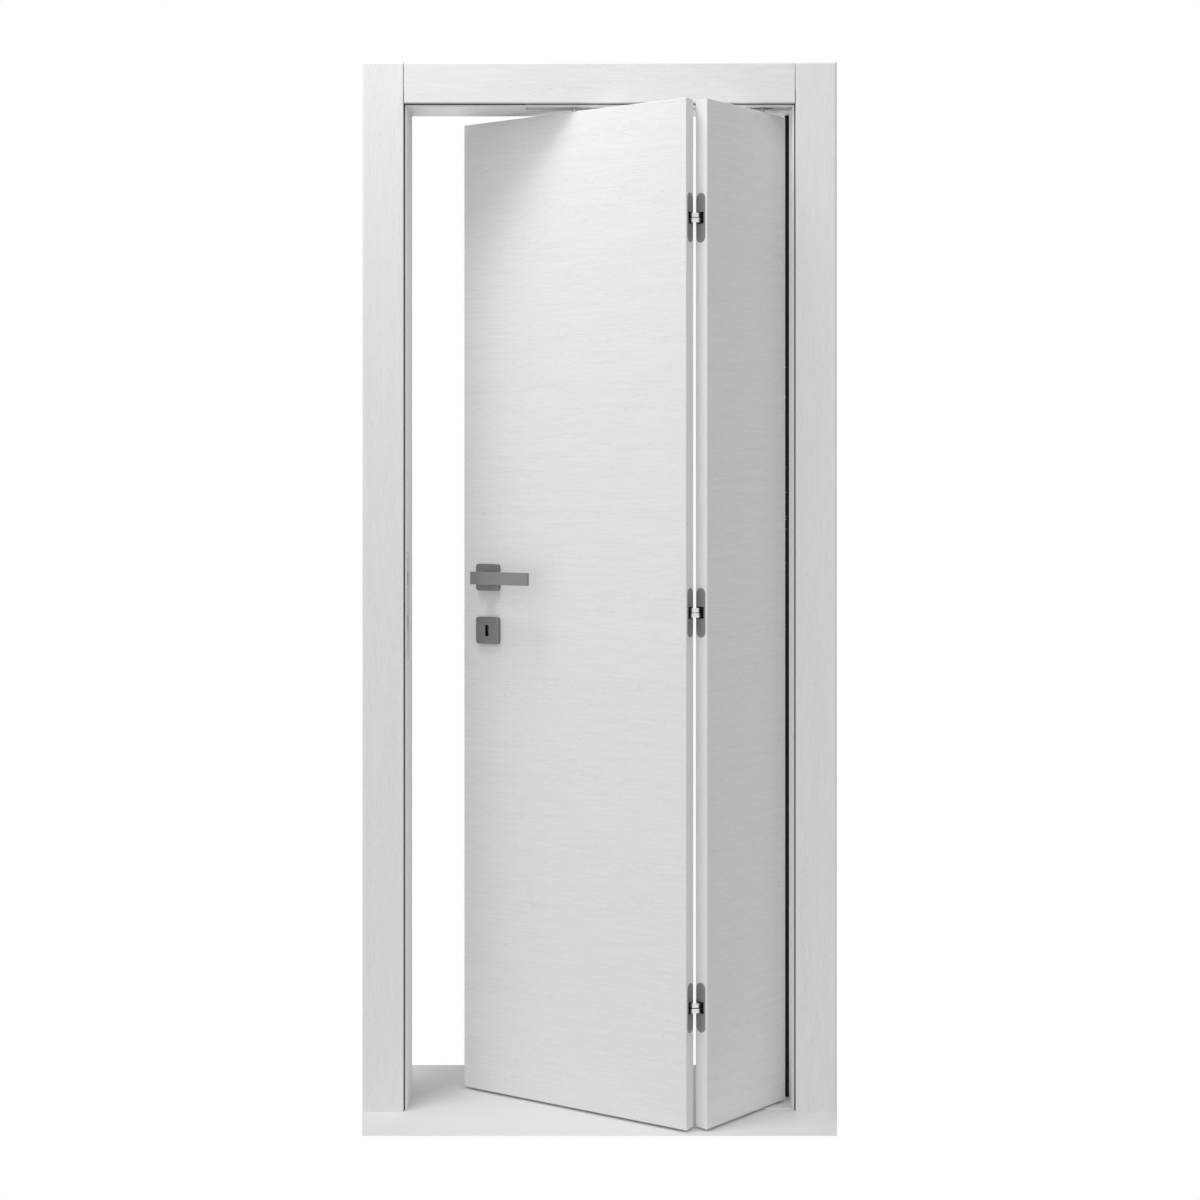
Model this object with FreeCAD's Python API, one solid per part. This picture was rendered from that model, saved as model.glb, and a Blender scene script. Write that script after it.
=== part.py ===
import FreeCAD, Part
import math
import os
from FreeCAD import Vector

# Asymmetric bifold door set: a lined frame with casings on both wall faces, a narrow leaf that
# turns on two pivots near the right jamb, and a wide leaf folded on it by three concealed hinges.
# Everything is built with the leaves closed, in millimetres: X across the opening from its centre,
# Y from the casings' front face into the wall, Z up from the floor. The leaves are then folded to
# the resting pose, and all pieces are shifted so that the origin is the pivot axis at the floor.

# Opening and frame
clear_width = 800.0
clear_height = 2081.0
jamb_thickness = 40.0
jamb_front = 10.0
jamb_visible_depth = 94.6
casing_width = 85.0
casing_thickness = 14.0
casing_reveal = 6.0
casing_outer_radius = 5.0
casing_inner_radius = 1.5
casing_joint_gap = 1.6
casing_back_relief = 1.0
casing_relief_margin = 4.0
nose_width = 3.8
nose_radius = 0.8
shadow_gap_depth = 11.0
shadow_gap_undercut = 2.0
tongue_offset = 28.0
tongue_thickness = 4.0
tongue_length = 12.0
tongue_clearance = 0.4
tongue_end_gap = 1.0

# Leaves: the wide leaf takes its share of the clear width, the narrow one what is left
wide_leaf_share = 0.675
fold_gap = 4.0
side_gap = 3.0
leaf_thickness = 31.0
leaf_setback = 16.0
leaf_bottom_gap = 5.0
leaf_top_gap = 10.6
leaf_edge_radius = 1.5
skin_thickness = 4.0
edge_band_thickness = 1.0
stile_width = 75.0
rail_height = 90.0
lock_block_width = 60.0
lock_block_margin = 103.5

# Resting pose, in degrees: the narrow leaf's turn from the closed plane, and the fold between the leaves
narrow_leaf_angle = 46.2
fold_angle = 76.0

# Jamb pivots
pivot_inset = 59.0
pivot_pin_radius = 5.0
pivot_running_clearance = 0.05
pivot_barrel_radius = 8.0
pivot_barrel_length = 50.0
pivot_pin_rise = 26.0
socket_length = 44.0
socket_mouth_gap = 3.0
socket_bore_depth = 17.0
bush_radius = 9.0
bush_length = 34.0
bush_flange_radius = 12.0
bush_flange_thickness = 1.5
bush_bore_depth = 28.0
bottom_pin_rise = 20.0
thrust_collar_radius = 8.0
thrust_clearance = 0.3
floor_plate_thickness = 2.0
floor_plate_width = 24.0
floor_plate_reach = 58.0
floor_hole_radius = 2.75
floor_hole_end_distance = 8.0
floor_hole_spacing = 24.0

# Head track and guide
track_inner_width = 26.0
track_wall = 2.5
track_depth = 24.0
track_start_margin = 25.0
track_end_clearance = 0.5
track_screw_shares = (0.05, 0.3, 0.55, 0.8)
track_screw_length = 12.0
guide_arm_share = 0.958091
guide_insert_radius = 6.0
guide_insert_length = 35.0
guide_collar_radius = 4.0
guide_pin_radius = 3.0
guide_running_clearance = 0.05
guide_roller_radius = 5.0
guide_roller_height = 10.0
guide_roller_rise = 14.8
guide_end_clearance = 0.3
guide_cap_thickness = 2.0

# Concealed hinges
hinge_bottom_distance = 241.0
hinge_top_distance = 238.0
hinge_axis_behind_leaf = 0.6
hinge_cover_width = 24.0
hinge_cover_height = 100.0
hinge_cover_thickness = 1.3
hinge_cover_front_margin = 4.5
hinge_flange_width = 21.0
hinge_flange_height = 96.0
hinge_flange_thickness = 1.2
hinge_block_height = 56.0
hinge_block_wall = 1.7
hinge_window_height = 23.6
hinge_window_front_margin = 4.5
hinge_window_back_margin = 0.8
hinge_window_depth = 6.0
hinge_link_outer_radii = (15.2, 14.0)
hinge_link_bar = 3.0
hinge_link_height = 9.2
hinge_link_spacing = 0.6
hinge_link_end_cover = 0.4
hinge_link_clearance = 0.3
hinge_link_groove_depth = 0.8
hinge_link_groove_height = 1.4
hinge_screw_distance = 38.0
hinge_screw_length = 28.0

# Lock and lever handle
backset = 65.0
lever_height = 1101.0
key_below_lever = 113.0
faceplate_thickness = 3.0
faceplate_width = 20.0
faceplate_height = 230.0
faceplate_screw_end_distance = 10.0
lock_case_depth = 88.0
lock_case_thickness = 15.0
lock_case_wall = 1.5
lock_case_above_lever = 38.0
lock_case_below_key = 45.0
latch_thickness = 9.0
latch_height = 22.0
latch_length = 28.0
dead_bolt_height = 28.0
dead_bolt_length = 36.0
dead_bolt_above_key = 22.0
bolt_clearance = 0.3
follower_radius = 10.0
follower_boss_radius = 7.0
follower_disc_side_clearance = 0.3
spindle_side = 8.0
spindle_reach = 28.0
spindle_hole_radius = 8.0
plate_side = 57.0
plate_thickness = 9.0
plate_corner_radius = 6.0
plate_edge_radius = 1.0
keyhole_round_radius = 4.6
keyhole_slot_width = 8.4
keyhole_length = 24.0
keyhole_leaf_margin = 1.5
lever_length = 142.0
lever_bar_height = 26.5
lever_bar_thickness = 9.0
lever_tail = 12.0
lever_stand = 54.0
lever_edge_radius = 1.0
lever_neck_radius = 10.0
lever_neck_clearance = 0.3
lever_leaf_clearance = 0.5
handle_bolt_radius = 2.0
handle_bolt_offset = 19.0
handle_bolt_plate_depth = 5.0
handle_bolt_hole_radius = 2.5

# Strike on the left jamb
strike_thickness = 2.0
strike_width = 20.0
strike_window_margin = 1.0
strike_pocket_depth = 20.0

# Brush seal on the pivot jamb and common screw sizes
seal_projection = 9.0
seal_depth = 11.0
seal_back_margin = 1.0
seal_tip_radius = 3.0
screw_radius = 2.0
screw_head_radius = 4.0
screw_head_depth = 2.2
jamb_screw_length = 24.0
overrun = 5.0

# Places that follow from the sizes above
half_opening = clear_width / 2
jamb_back = jamb_front + jamb_visible_depth
lining_front = casing_thickness - casing_back_relief
frame_middle = (jamb_front + jamb_back) / 2
frame_top = clear_height + jamb_thickness
leaf_front = leaf_setback
leaf_back = leaf_front + leaf_thickness
leaf_middle = (leaf_front + leaf_back) / 2
leaf_bottom = leaf_bottom_gap
leaf_top = clear_height - leaf_top_gap
wide_free_edge = -half_opening + side_gap
wide_fold_edge = wide_free_edge + clear_width * wide_leaf_share
narrow_fold_edge = wide_fold_edge + fold_gap
narrow_far_edge = half_opening - side_gap
fold_x = wide_fold_edge + fold_gap / 2
fold_y = leaf_back + hinge_axis_behind_leaf
pivot_x = narrow_far_edge - pivot_inset
pivot_y = leaf_middle
turn_angle = math.radians(narrow_leaf_angle)
wide_leaf_angle = math.radians(fold_angle - narrow_leaf_angle)
fold_behind_pivot = fold_y - pivot_y
guide_level = ((pivot_x - fold_x) * math.sin(turn_angle)
               + fold_behind_pivot * (math.cos(wide_leaf_angle) - math.cos(turn_angle)))
guide_arm = guide_level / math.sin(wide_leaf_angle) * guide_arm_share
guide_x = fold_x - guide_arm
lever_x = wide_free_edge + backset
keyhole_height = lever_height - key_below_lever
lock_middle = (lever_height + keyhole_height) / 2
hinge_low = leaf_bottom + hinge_bottom_distance
hinge_high = leaf_top - hinge_top_distance
hinges = {"bottom": hinge_low, "middle": (hinge_low + hinge_high) / 2, "top": hinge_high}

up = Vector(0, 0, 1)
across = Vector(1, 0, 0)
inward = Vector(0, 1, 0)


def box(x_low, x_high, y_low, y_high, z_low, z_high):
    return Part.makeBox(x_high - x_low, y_high - y_low, z_high - z_low, Vector(x_low, y_low, z_low))


def rod(start, direction, length, radius):
    return Part.makeCylinder(radius, length, start, direction)


def join(*shapes):
    joined = shapes[0]
    for shape in shapes[1:]:
        joined = joined.fuse(shape)
    return joined.removeSplitter()


def cut(shape, tools):
    for tool in tools:
        shape = shape.cut(tool)
    return shape


def outline_face(corners):
    """A flat face from (point, corner radius) pairs, with an arc at each rounded corner."""
    edges = []
    first = None
    last = None
    for index, (corner, radius) in enumerate(corners):
        before = corners[index - 1][0]
        after = corners[(index + 1) % len(corners)][0]
        if radius > 0:
            back = (before - corner).normalize()
            ahead = (after - corner).normalize()
            half_angle = back.getAngle(ahead) / 2
            middle_line = (back + ahead).normalize()
            start = corner + back * (radius / math.tan(half_angle))
            end = corner + ahead * (radius / math.tan(half_angle))
            crown = corner + middle_line * (radius / math.sin(half_angle) - radius)
            arc = Part.Arc(start, crown, end).toShape()
        else:
            start = corner
            end = corner
            arc = None
        if last is not None:
            edges.append(Part.LineSegment(last, start).toShape())
        else:
            first = start
        if arc is not None:
            edges.append(arc)
        last = end
    edges.append(Part.LineSegment(last, first).toShape())
    return Part.Face(Part.Wire(edges))


def rounded_box(x_low, x_high, y_low, y_high, z_low, z_high, along, radius):
    """A box whose four edges along one axis are rounded."""
    lows = Vector(x_low, y_low, z_low)
    sizes = Vector(x_high - x_low, y_high - y_low, z_high - z_low)
    steps = {"x": (inward * sizes.y, up * sizes.z, across * sizes.x),
             "y": (across * sizes.x, up * sizes.z, inward * sizes.y),
             "z": (across * sizes.x, inward * sizes.y, up * sizes.z)}
    side, rise, depth = steps[along]
    corners = [lows, lows + side, lows + side + rise, lows + rise]
    return outline_face([(corner, radius) for corner in corners]).extrude(depth)


def stadium(x_low, x_high, y_middle, z_middle, width, height):
    """A round-ended plate that stands upright, with its thickness along X."""
    radius = width / 2
    straight = height / 2 - radius
    plate = box(x_low, x_high, y_middle - radius, y_middle + radius,
                z_middle - straight, z_middle + straight)
    ends = [rod(Vector(x_low, y_middle, z_middle + sign * straight), across, x_high - x_low, radius)
            for sign in (-1, 1)]
    return join(plate, *ends)


def screw(head, direction, length):
    """A countersunk screw: its head's flat face is at the given point."""
    cone = Part.makeCone(screw_head_radius, screw_radius, screw_head_depth, head, direction)
    return join(cone, rod(head, direction, length, screw_radius))


def turned(shape, angle, x, y):
    copy = shape.copy()
    copy.rotate(Vector(x, y, 0), up, angle)
    return copy


def mirrored_across(shape, x):
    return shape.mirror(Vector(x, 0, 0), across)


def mirrored_through(shape, y):
    return shape.mirror(Vector(0, y, 0), inward)


# Frame: linings, casings, seal


def jamb_corners(place):
    """A lining's section: nose, shadow gap and tongue groove at the front, and the same behind."""
    gap_end = casing_reveal + shadow_gap_undercut
    groove_start = tongue_offset - tongue_clearance
    groove_end = tongue_offset + tongue_thickness + tongue_clearance
    gap_bottom = jamb_front + shadow_gap_depth
    groove_bottom = lining_front + tongue_length + tongue_end_gap
    front = [(0, jamb_front, nose_radius), (nose_width, jamb_front, nose_radius),
             (nose_width, gap_bottom, 0), (gap_end, gap_bottom, 0), (gap_end, lining_front, 0),
             (groove_start, lining_front, 0), (groove_start, groove_bottom, 0),
             (groove_end, groove_bottom, 0), (groove_end, lining_front, 0),
             (jamb_thickness, lining_front, 0)]
    middle_doubled = jamb_front + jamb_back
    back = [(out, middle_doubled - depth, radius) for out, depth, radius in reversed(front)]
    return [(place(out, depth), radius) for out, depth, radius in front + back]


def make_side_jamb():
    """The right lining, full height; its nose stops at the corner and the shadow gap turns there."""
    def place(out, depth):
        return Vector(half_opening + out, depth, 0)
    lining = outline_face(jamb_corners(place)).extrude(up * frame_top)
    gap_end = casing_reveal + shadow_gap_undercut
    corner = [box(half_opening - overrun, half_opening + gap_end, jamb_front - overrun, depth,
                  clear_height + nose_width, top)
              for depth, top in ((jamb_front + shadow_gap_depth, clear_height + gap_end),
                                 (lining_front, frame_top + overrun))]
    return cut(lining, corner + [mirrored_through(piece, frame_middle) for piece in corner])


def make_head_jamb():
    def place(out, depth):
        return Vector(-half_opening, depth, clear_height + out)
    return outline_face(jamb_corners(place)).extrude(across * clear_width)


def casing_section(place):
    """A casing's section, its back relieved where it lies on the lining."""
    outer = casing_reveal + casing_width
    relief_end = jamb_thickness + casing_relief_margin
    return outline_face([(place(casing_reveal, lining_front), 0),
                         (place(casing_reveal, 0), casing_inner_radius),
                         (place(outer, 0), casing_outer_radius),
                         (place(outer, casing_thickness), 0),
                         (place(relief_end, casing_thickness), 0),
                         (place(relief_end, lining_front), 0)])


def tongue_section(place):
    far_side = tongue_offset + tongue_thickness
    end = lining_front + tongue_length
    return outline_face([(place(tongue_offset, lining_front), 0), (place(tongue_offset, end), 0),
                         (place(far_side, end), 0), (place(far_side, lining_front), 0)])


def make_side_casing():
    """The right front casing, full height, its top outer edge rounded like its side."""
    def place(out, depth):
        return Vector(half_opening + out, depth, 0)
    height = clear_height + casing_reveal + casing_width
    board = casing_section(place).extrude(up * height)
    left = half_opening + casing_reveal - overrun
    profile = outline_face([(Vector(left, 0, -overrun), 0), (Vector(left, 0, height), casing_outer_radius),
                            (Vector(left, casing_thickness, height), 0),
                            (Vector(left, casing_thickness, -overrun), 0)])
    board = board.common(profile.extrude(across * (casing_width + overrun * 2)))
    tongue = tongue_section(place).extrude(up * clear_height)
    return join(board, tongue)


def make_head_casing():
    def place(out, depth):
        return Vector(-half_opening, depth, clear_height + out)

    def wide_place(out, depth):
        return place(out, depth) - across * casing_reveal
    board = casing_section(wide_place).extrude(across * (clear_width + casing_reveal * 2))
    end = half_opening + casing_reveal - casing_joint_gap
    low = clear_height
    plan = outline_face([(Vector(-end, 0, low), casing_inner_radius), (Vector(end, 0, low), casing_inner_radius),
                         (Vector(end, casing_thickness, low), 0), (Vector(-end, casing_thickness, low), 0)])
    board = board.common(plan.extrude(up * (casing_reveal + casing_width + overrun)))
    tongue = tongue_section(place).extrude(across * clear_width)
    return join(board, tongue)


def make_seal():
    """A dark brush strip on the pivot jamb that closes the sight gap behind the narrow leaf."""
    back = jamb_back - seal_back_margin
    inner = half_opening - seal_projection
    corners = [(Vector(half_opening, back, 0), 0), (Vector(inner, back, 0), seal_tip_radius),
               (Vector(inner, back - seal_depth, 0), seal_tip_radius),
               (Vector(half_opening, back - seal_depth, 0), 0)]
    return outline_face(corners).extrude(up * clear_height)


# Head track, pivots and guide

track_outer_half = track_inner_width / 2 + track_wall
track_start = guide_x - track_start_margin
track_end = half_opening - track_end_clearance
track_web = clear_height + track_depth - track_wall


def make_track():
    outer = box(track_start, track_end, pivot_y - track_outer_half, pivot_y + track_outer_half,
                clear_height, clear_height + track_depth)
    inner = box(track_start - overrun, track_end + overrun, pivot_y - track_inner_width / 2,
                pivot_y + track_inner_width / 2, clear_height - overrun, track_web)
    return outer.cut(inner)


def track_screws():
    length = track_end - track_start
    return [screw(Vector(track_start + length * share, pivot_y, track_web), up, track_screw_length)
            for share in track_screw_shares]


def make_top_socket():
    block = box(pivot_x - socket_length / 2, pivot_x + socket_length / 2,
                pivot_y - track_inner_width / 2, pivot_y + track_inner_width / 2,
                clear_height + socket_mouth_gap, track_web)
    bore = rod(Vector(pivot_x, pivot_y, clear_height), up, socket_mouth_gap + socket_bore_depth,
               pivot_pin_radius + pivot_running_clearance)
    return block.cut(bore)


def make_top_pin():
    barrel = rod(Vector(pivot_x, pivot_y, leaf_top - pivot_barrel_length), up, pivot_barrel_length,
                 pivot_barrel_radius)
    return join(barrel, rod(Vector(pivot_x, pivot_y, leaf_top), up, pivot_pin_rise, pivot_pin_radius))


def make_floor_plate():
    """A flat plate against the pivot jamb, with two holes for floor screws behind the leaves."""
    left = pivot_x - floor_plate_reach
    plate = box(left, half_opening, pivot_y - floor_plate_width / 2, pivot_y + floor_plate_width / 2,
                0, floor_plate_thickness)
    holes = [rod(Vector(left + floor_hole_end_distance + place, pivot_y, -overrun), up,
                 floor_plate_thickness + overrun * 2, floor_hole_radius)
             for place in (0, floor_hole_spacing)]
    return cut(plate, holes)


def make_bottom_pin():
    base = Vector(pivot_x, pivot_y, floor_plate_thickness)
    collar_top = leaf_bottom - bush_flange_thickness - thrust_clearance
    collar = rod(base, up, collar_top - floor_plate_thickness, thrust_collar_radius)
    rise = bottom_pin_rise + leaf_bottom - floor_plate_thickness
    return join(collar, rod(base, up, rise, pivot_pin_radius))


def make_bottom_bush():
    bottom = Vector(pivot_x, pivot_y, leaf_bottom)
    flange = rod(bottom - up * bush_flange_thickness, up, bush_flange_thickness, bush_flange_radius)
    bush = join(flange, rod(bottom, up, bush_length, bush_radius))
    bore = rod(bottom - up * bush_flange_thickness, up, bush_flange_thickness + bush_bore_depth,
               pivot_pin_radius + pivot_running_clearance)
    return bush.cut(bore)


roller_bottom = leaf_top + guide_roller_rise
roller_top = roller_bottom + guide_roller_height


def make_guide_pin():
    top = Vector(guide_x, pivot_y, leaf_top)
    insert = rod(top - up * guide_insert_length, up, guide_insert_length, guide_insert_radius)
    collar = rod(top, up, guide_roller_rise - guide_end_clearance, guide_collar_radius)
    cap_bottom = roller_top + guide_end_clearance
    shaft = rod(top, up, cap_bottom - leaf_top, guide_pin_radius)
    cap = rod(Vector(guide_x, pivot_y, cap_bottom), up, guide_cap_thickness, guide_collar_radius)
    return join(insert, collar, shaft, cap)


def make_guide_roller():
    base = Vector(guide_x, pivot_y, roller_bottom)
    bore = rod(base - up * overrun, up, guide_roller_height + overrun * 2,
               guide_pin_radius + guide_running_clearance)
    return rod(base, up, guide_roller_height, guide_roller_radius).cut(bore)


# Concealed hinges, built on the narrow leaf's side of the fold and mirrored for the wide leaf

cover_face = fold_x + fold_gap / 2
flange_face = cover_face + hinge_cover_thickness
block_face = flange_face + hinge_flange_thickness
cover_middle = leaf_front + hinge_cover_front_margin + hinge_cover_width / 2
cover_back = cover_middle + hinge_cover_width / 2
cover_front = cover_middle - hinge_cover_width / 2
window_front = cover_front + hinge_window_front_margin
window_back = cover_back - hinge_window_back_margin
link_back_limit = window_back - hinge_link_end_cover


def link_levels(z_middle):
    """The lower and the upper link's bottom height at one hinge."""
    return (z_middle - hinge_link_spacing / 2 - hinge_link_height, z_middle + hinge_link_spacing / 2)


def ring(outer, inner, z_low, height):
    tube = rod(Vector(fold_x, fold_y, z_low), up, height, outer)
    return tube.cut(rod(Vector(fold_x, fold_y, z_low - overrun), up, height + overrun * 2, inner))


def half_plane_in_front(limit, z_low, height):
    """A block on the viewer's side of a plane, wide enough to hold any ring."""
    reach = max(hinge_link_outer_radii) + overrun
    return box(fold_x - reach, fold_x + reach, fold_y - reach, limit, z_low, z_low + height)


def make_links(z_middle):
    """Two stacked part rings, centred on the fold axis, that bridge the two leaves."""
    links = []
    for z_low, outer in zip(link_levels(z_middle), hinge_link_outer_radii):
        inner = outer - hinge_link_bar
        shape = ring(outer, inner, z_low, hinge_link_height)
        end_angle = math.asin((fold_y - link_back_limit) / inner)
        far = (outer + overrun) / math.cos(end_angle)
        wedge = outline_face([(Vector(fold_x, fold_y, z_low), 0),
                              (Vector(fold_x - far * math.cos(end_angle),
                                      fold_y - far * math.sin(end_angle), z_low), 0),
                              (Vector(fold_x - far, fold_y - far - overrun, z_low), 0),
                              (Vector(fold_x + far, fold_y - far - overrun, z_low), 0),
                              (Vector(fold_x + far * math.cos(end_angle),
                                      fold_y - far * math.sin(end_angle), z_low), 0)])
        shape = shape.common(wedge.extrude(up * hinge_link_height))
        groove_low = z_low + (hinge_link_height - hinge_link_groove_height) / 2
        groove = ring(outer + overrun, outer - hinge_link_groove_depth, groove_low, hinge_link_groove_height)
        links.append(shape.cut(groove))
    return links


def link_channels(z_middle):
    """The curved ways in a hinge half where the links run."""
    channels = []
    for z_low, outer in zip(link_levels(z_middle), hinge_link_outer_radii):
        z_start = z_low - hinge_link_clearance
        height = hinge_link_height + hinge_link_clearance * 2
        way = ring(outer + hinge_link_clearance, outer - hinge_link_bar - hinge_link_clearance, z_start, height)
        channels.append(way.common(half_plane_in_front(window_back, z_start, height)))
    return channels


def hinge_screws(z_middle):
    return [screw(Vector(flange_face, cover_middle, z_middle + sign * hinge_screw_distance), across,
                  hinge_screw_length) for sign in (-1, 1)]


def hinge_window(z_middle):
    return box(cover_face - overrun, cover_face + hinge_window_depth, window_front, window_back,
               z_middle - hinge_window_height / 2, z_middle + hinge_window_height / 2)


def hinge_block(z_middle):
    depth = fold_x + max(hinge_link_outer_radii) + hinge_link_clearance + hinge_block_wall
    return box(block_face, depth, cover_front, cover_back,
               z_middle - hinge_block_height / 2, z_middle + hinge_block_height / 2)


def hinge_flange(z_middle):
    return stadium(flange_face, block_face, cover_middle, z_middle, hinge_flange_width, hinge_flange_height)


def hinge_cover(z_middle):
    return stadium(cover_face, flange_face, cover_middle, z_middle, hinge_cover_width, hinge_cover_height)


def make_hinge_half(z_middle):
    body = join(hinge_block(z_middle), hinge_flange(z_middle))
    return cut(body, [hinge_window(z_middle)] + link_channels(z_middle) + hinge_screws(z_middle))


def make_hinge_cover(z_middle):
    return hinge_cover(z_middle).cut(hinge_window(z_middle))


def hinge_mortice(z_middle):
    """What one hinge half takes out of a leaf's fold edge."""
    return [hinge_cover(z_middle), hinge_flange(z_middle), hinge_block(z_middle)] + hinge_screws(z_middle)


# Lock, strike and lever handle

case_front = wide_free_edge + faceplate_thickness
case_back = case_front + lock_case_depth
case_bottom = keyhole_height - lock_case_below_key
case_top = lever_height + lock_case_above_lever
dead_bolt_middle = keyhole_height + dead_bolt_above_key


def lock_bolt(length, height, z_middle, extra):
    """A lock bolt flush with the faceplate, or, with extra, the window that it runs in."""
    half = latch_thickness / 2 + extra
    return box(wide_free_edge, wide_free_edge + length, leaf_middle - half, leaf_middle + half,
               z_middle - height / 2 - extra, z_middle + height / 2 + extra)


def keyhole(y_low, y_high, margin):
    """A round hole over a straight slot, through the given depth."""
    top_centre = keyhole_height + keyhole_length / 2 - keyhole_round_radius
    hole = rod(Vector(lever_x, y_low, top_centre), inward, y_high - y_low, keyhole_round_radius + margin)
    half = keyhole_slot_width / 2 + margin
    slot = box(lever_x - half, lever_x + half, y_low, y_high,
               keyhole_height - keyhole_length / 2 - margin, top_centre)
    return join(hole, slot)


def handle_bolts(radius, y_low, y_high):
    return [rod(Vector(lever_x + sign * handle_bolt_offset, y_low, height), inward, y_high - y_low, radius)
            for height in (lever_height, keyhole_height) for sign in (-1, 1)]


def faceplate_screws():
    reach = faceplate_height / 2 - faceplate_screw_end_distance
    return [screw(Vector(wide_free_edge, leaf_middle, lock_middle + sign * reach), across,
                  jamb_screw_length) for sign in (-1, 1)]


def make_lock_case():
    half = lock_case_thickness / 2
    wall = lock_case_wall
    case = box(case_front, case_back, leaf_middle - half, leaf_middle + half, case_bottom, case_top)
    inside = box(case_front - overrun, case_back - wall, leaf_middle - half + wall,
                 leaf_middle + half - wall, case_bottom + wall, case_top - wall)
    y_low = leaf_middle - half - overrun
    y_high = leaf_middle + half + overrun
    boss_hole = rod(Vector(lever_x, y_low, lever_height), inward, y_high - y_low,
                    follower_boss_radius + pivot_running_clearance)
    tools = [inside, boss_hole, keyhole(y_low, y_high, 0)] + handle_bolts(handle_bolt_hole_radius, y_low, y_high)
    return cut(case, tools)


def make_faceplate():
    plate = stadium(wide_free_edge, case_front, leaf_middle, lock_middle, faceplate_width, faceplate_height)
    windows = [lock_bolt(latch_length, latch_height, lever_height, bolt_clearance),
               lock_bolt(dead_bolt_length, dead_bolt_height, dead_bolt_middle, bolt_clearance)]
    return cut(plate, windows + faceplate_screws())


def make_follower():
    half = lock_case_thickness / 2
    disc_half = half - lock_case_wall - follower_disc_side_clearance
    disc = rod(Vector(lever_x, leaf_middle - disc_half, lever_height), inward, disc_half * 2, follower_radius)
    boss = rod(Vector(lever_x, leaf_middle - half, lever_height), inward, half * 2, follower_boss_radius)
    return join(disc, boss).cut(make_spindle())


def make_spindle():
    half = spindle_side / 2
    return box(lever_x - half, lever_x + half, leaf_front - spindle_reach, leaf_back + spindle_reach,
               lever_height - half, lever_height + half)


def rounded_plate(z_middle):
    """A square plate on the leaf's front face with rounded corners and a softened front edge."""
    half = plate_side / 2
    front = leaf_front - plate_thickness
    body = rounded_box(lever_x - half, lever_x + half, front, leaf_front, z_middle - half, z_middle + half,
                       "y", plate_corner_radius)
    edges = [edge for edge in body.Edges if abs(edge.BoundBox.YMax - front) < plate_edge_radius / 2]
    return body.makeFillet(plate_edge_radius, edges)


def make_rosette():
    bore = rod(Vector(lever_x, leaf_front - plate_thickness - overrun, lever_height), inward,
               plate_thickness + overrun * 2, lever_neck_radius + lever_neck_clearance)
    bolts = handle_bolts(handle_bolt_radius, leaf_front - handle_bolt_plate_depth, leaf_front)
    return cut(rounded_plate(lever_height), [bore] + bolts)


def make_escutcheon():
    hole = keyhole(leaf_front - plate_thickness - overrun, leaf_front + overrun, 0)
    bolts = handle_bolts(handle_bolt_radius, leaf_front - handle_bolt_plate_depth, leaf_front)
    return cut(rounded_plate(keyhole_height), [hole] + bolts)


def make_lever():
    """The front lever: a flat bar on a round neck."""
    face = leaf_front - lever_stand
    back = face + lever_bar_thickness
    bar = rounded_box(lever_x - lever_tail, lever_x - lever_tail + lever_length, face, back,
                      lever_height - lever_bar_height / 2, lever_height + lever_bar_height / 2,
                      "y", lever_edge_radius)
    rims = [edge for edge in bar.Edges if edge.BoundBox.YLength < lever_edge_radius / 2]
    bar = bar.makeFillet(lever_edge_radius / 2, rims)
    neck_start = back - lever_bar_thickness / 2
    neck_end = leaf_front - lever_leaf_clearance
    neck = rod(Vector(lever_x, neck_start, lever_height), inward, neck_end - neck_start, lever_neck_radius)
    return join(bar, neck).cut(make_spindle())


def lock_cuts():
    """What the lock and the handle take out of the wide leaf."""
    half = lock_case_thickness / 2
    case = box(wide_free_edge - overrun, case_back, leaf_middle - half, leaf_middle + half,
               case_bottom, case_top)
    plate = stadium(wide_free_edge - overrun, case_front, leaf_middle, lock_middle, faceplate_width,
                    faceplate_height)
    y_low = leaf_front - overrun
    y_high = leaf_back + overrun
    spindle_hole = rod(Vector(lever_x, y_low, lever_height), inward, y_high - y_low, spindle_hole_radius)
    return ([case, plate, spindle_hole, keyhole(y_low, y_high, keyhole_leaf_margin)]
            + handle_bolts(handle_bolt_radius, y_low, y_high) + faceplate_screws())


def strike_windows(depth):
    """The ways through the strike, or pockets in the jamb, for the latch and the dead bolt."""
    half = latch_thickness / 2 + strike_window_margin
    windows = []
    for middle, height in ((lever_height, latch_height), (dead_bolt_middle, dead_bolt_height)):
        reach = height / 2 + strike_window_margin
        windows.append(box(-half_opening - depth, -half_opening, leaf_middle - half, leaf_middle + half,
                           middle - reach, middle + reach))
    return windows


def strike_blank():
    return stadium(-half_opening - strike_thickness, -half_opening, leaf_middle, lock_middle,
                   strike_width, faceplate_height)


def strike_screws():
    reach = faceplate_height / 2 - faceplate_screw_end_distance
    return [screw(Vector(-half_opening, leaf_middle, lock_middle + sign * reach), -across,
                  jamb_screw_length) for sign in (-1, 1)]


# Leaves: skins, timber frame, core and edge bands inside one rounded envelope


def leaf_envelope(x_low, x_high):
    upright = rounded_box(x_low, x_high, leaf_front, leaf_back, leaf_bottom, leaf_top, "z", leaf_edge_radius)
    crosswise = rounded_box(x_low, x_high, leaf_front, leaf_back, leaf_bottom, leaf_top, "x", leaf_edge_radius)
    return upright.common(crosswise)


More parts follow.
